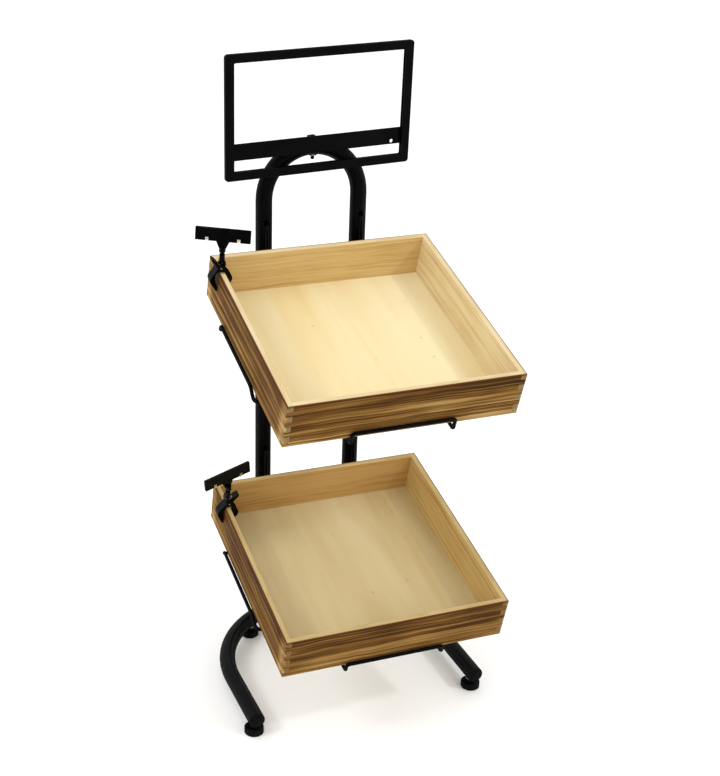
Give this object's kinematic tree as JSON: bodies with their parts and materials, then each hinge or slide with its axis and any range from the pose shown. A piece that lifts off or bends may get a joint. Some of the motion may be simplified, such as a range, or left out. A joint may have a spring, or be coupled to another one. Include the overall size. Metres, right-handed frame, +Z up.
{
  "type": "two-tier crate floor display",
  "caption": "Free-standing floor display: open wooden crates tilted forward on hooked wire racks, a bent black tube stand with a sign frame on its arch, and a card clip on each crate.",
  "frame": {"origin": "on the floor, midway between the axes of the two uprights", "axes": "+Z up, -Y to the front, +X to the right of someone facing the back"},
  "size_m": [0.4137, 0.4138, 0.9822],
  "materials": {
    "black_powder_coat": "satin powder coat",
    "black_fastener": "black oxide",
    "black_gloss_plastic": "glossy moulded",
    "black_matte_plastic": "moulded",
    "zinc_steel": "zinc plated",
    "nickel": "bright nickel",
    "torched_pine": "flame-torched outside, bare inside",
    "plywood": "bare sanded"
  },
  "bodies": {
    "stand": {"base_hoop": "black_powder_coat", "base_end_cap_left": "black_matte_plastic", "base_end_cap_right": "black_matte_plastic", "foot_inserts": "zinc_steel", "upright_hoop": "black_powder_coat", "upright_screws": "zinc_steel", "sign_bolt": "black_fastener", "arch_insert": "zinc_steel", "upper_crate_left": "torched_pine", "upper_crate_right": "torched_pine", "upper_crate_front": "torched_pine", "upper_crate_back": "torched_pine", "upper_crate_bottom": "plywood", "upper_crate_nails": "zinc_steel", "upper_crate_brads": "zinc_steel", "upper_rack_wire": "black_powder_coat", "upper_rack_loop": "black_powder_coat", "upper_clip_neck_jaw": "black_gloss_plastic", "upper_clip_pin": "nickel", "upper_clip_spring": "nickel", "lower_crate_left": "torched_pine", "lower_crate_right": "torched_pine", "lower_crate_front": "torched_pine", "lower_crate_back": "torched_pine", "lower_crate_bottom": "plywood", "lower_crate_nails": "zinc_steel", "lower_crate_brads": "zinc_steel", "lower_rack_wire": "black_powder_coat", "lower_rack_loop": "black_powder_coat", "lower_clip_neck_jaw": "black_gloss_plastic", "lower_clip_pin": "nickel", "lower_clip_spring": "nickel"},
    "foot_front_left": {"foot_pad_front_left": "black_matte_plastic", "foot_stud_front_left": "zinc_steel"},
    "foot_front_right": {"foot_pad_front_right": "black_matte_plastic", "foot_stud_front_right": "zinc_steel"},
    "foot_rear_left": {"foot_pad_rear_left": "black_matte_plastic", "foot_stud_rear_left": "zinc_steel"},
    "foot_rear_right": {"foot_pad_rear_right": "black_matte_plastic", "foot_stud_rear_right": "zinc_steel"},
    "sign": {"sign_frame": "black_powder_coat", "sign_cross_bar": "black_powder_coat", "sign_bracket": "black_powder_coat"},
    "upper_clip_lever": {"upper_clip_free_jaw": "black_gloss_plastic"},
    "upper_clip_swivel": {"upper_clip_stem": "black_gloss_plastic"},
    "upper_card_header": {"upper_header_back": "black_gloss_plastic", "upper_header_front": "black_gloss_plastic", "upper_header_clips": "nickel"},
    "lower_clip_lever": {"lower_clip_free_jaw": "black_gloss_plastic"},
    "lower_clip_swivel": {"lower_clip_stem": "black_gloss_plastic"},
    "lower_card_header": {"lower_header_back": "black_gloss_plastic", "lower_header_front": "black_gloss_plastic", "lower_header_clips": "nickel"}
  },
  "joints": [
    {"name": "foot_turn_front_left", "type": "hinge", "parent": "stand", "child": "foot_front_left", "pos_m": [-0.1849, -0.273, 0], "axis": [0, 0, 1], "continuous": true},
    {"name": "foot_turn_front_right", "type": "hinge", "parent": "stand", "child": "foot_front_right", "pos_m": [0.1849, -0.273, 0], "axis": [0, 0, 1], "continuous": true},
    {"name": "foot_turn_rear_left", "type": "hinge", "parent": "stand", "child": "foot_rear_left", "pos_m": [-0.105, -0.01606, 0], "axis": [0, 0, 1], "continuous": true},
    {"name": "foot_turn_rear_right", "type": "hinge", "parent": "stand", "child": "foot_rear_right", "pos_m": [0.105, -0.01606, 0], "axis": [0, 0, 1], "continuous": true},
    {"name": "sign_turn", "type": "hinge", "parent": "stand", "child": "sign", "pos_m": [0, 0, 0.8476], "axis": [0, 0, 1], "range_deg": [-9, 0]},
    {"name": "upper_clip_squeeze", "type": "hinge", "parent": "stand", "child": "upper_clip_lever", "pos_m": [-0.17275, -0.08397, 0.68943], "axis": [0, 0.9555, 0.2949], "range_deg": [0, 14], "stiffness_Nm_per_rad": 0.06, "springref_deg": -68.75, "deforming": ["upper_clip_spring"]},
    {"name": "upper_header_swivel", "type": "hinge", "parent": "stand", "child": "upper_clip_swivel", "pos_m": [-0.17171, -0.09202, 0.71553], "axis": [-0.061, -0.2943, 0.9538], "continuous": true},
    {"name": "upper_header_tilt", "type": "hinge", "parent": "upper_clip_swivel", "child": "upper_card_header", "pos_m": [-0.17171, -0.09202, 0.71553], "axis": [0.9194, -0.386, -0.0756], "range_deg": [-15, 15]},
    {"name": "lower_clip_squeeze", "type": "hinge", "parent": "stand", "child": "lower_clip_lever", "pos_m": [-0.16889, -0.1001, 0.31159], "axis": [0, -0.9687, -0.2482], "range_deg": [0, 14], "stiffness_Nm_per_rad": 0.06, "springref_deg": -68.75, "deforming": ["lower_clip_spring"]},
    {"name": "lower_header_swivel", "type": "hinge", "parent": "stand", "child": "lower_clip_swivel", "pos_m": [-0.17041, -0.10687, 0.33803], "axis": [0.0436, -0.2479, 0.9678], "continuous": true},
    {"name": "lower_header_tilt", "type": "hinge", "parent": "lower_clip_swivel", "child": "lower_card_header", "pos_m": [-0.17041, -0.10687, 0.33803], "axis": [0.9613, 0.2104, 0.1781], "range_deg": [-15, 15]}
  ]
}
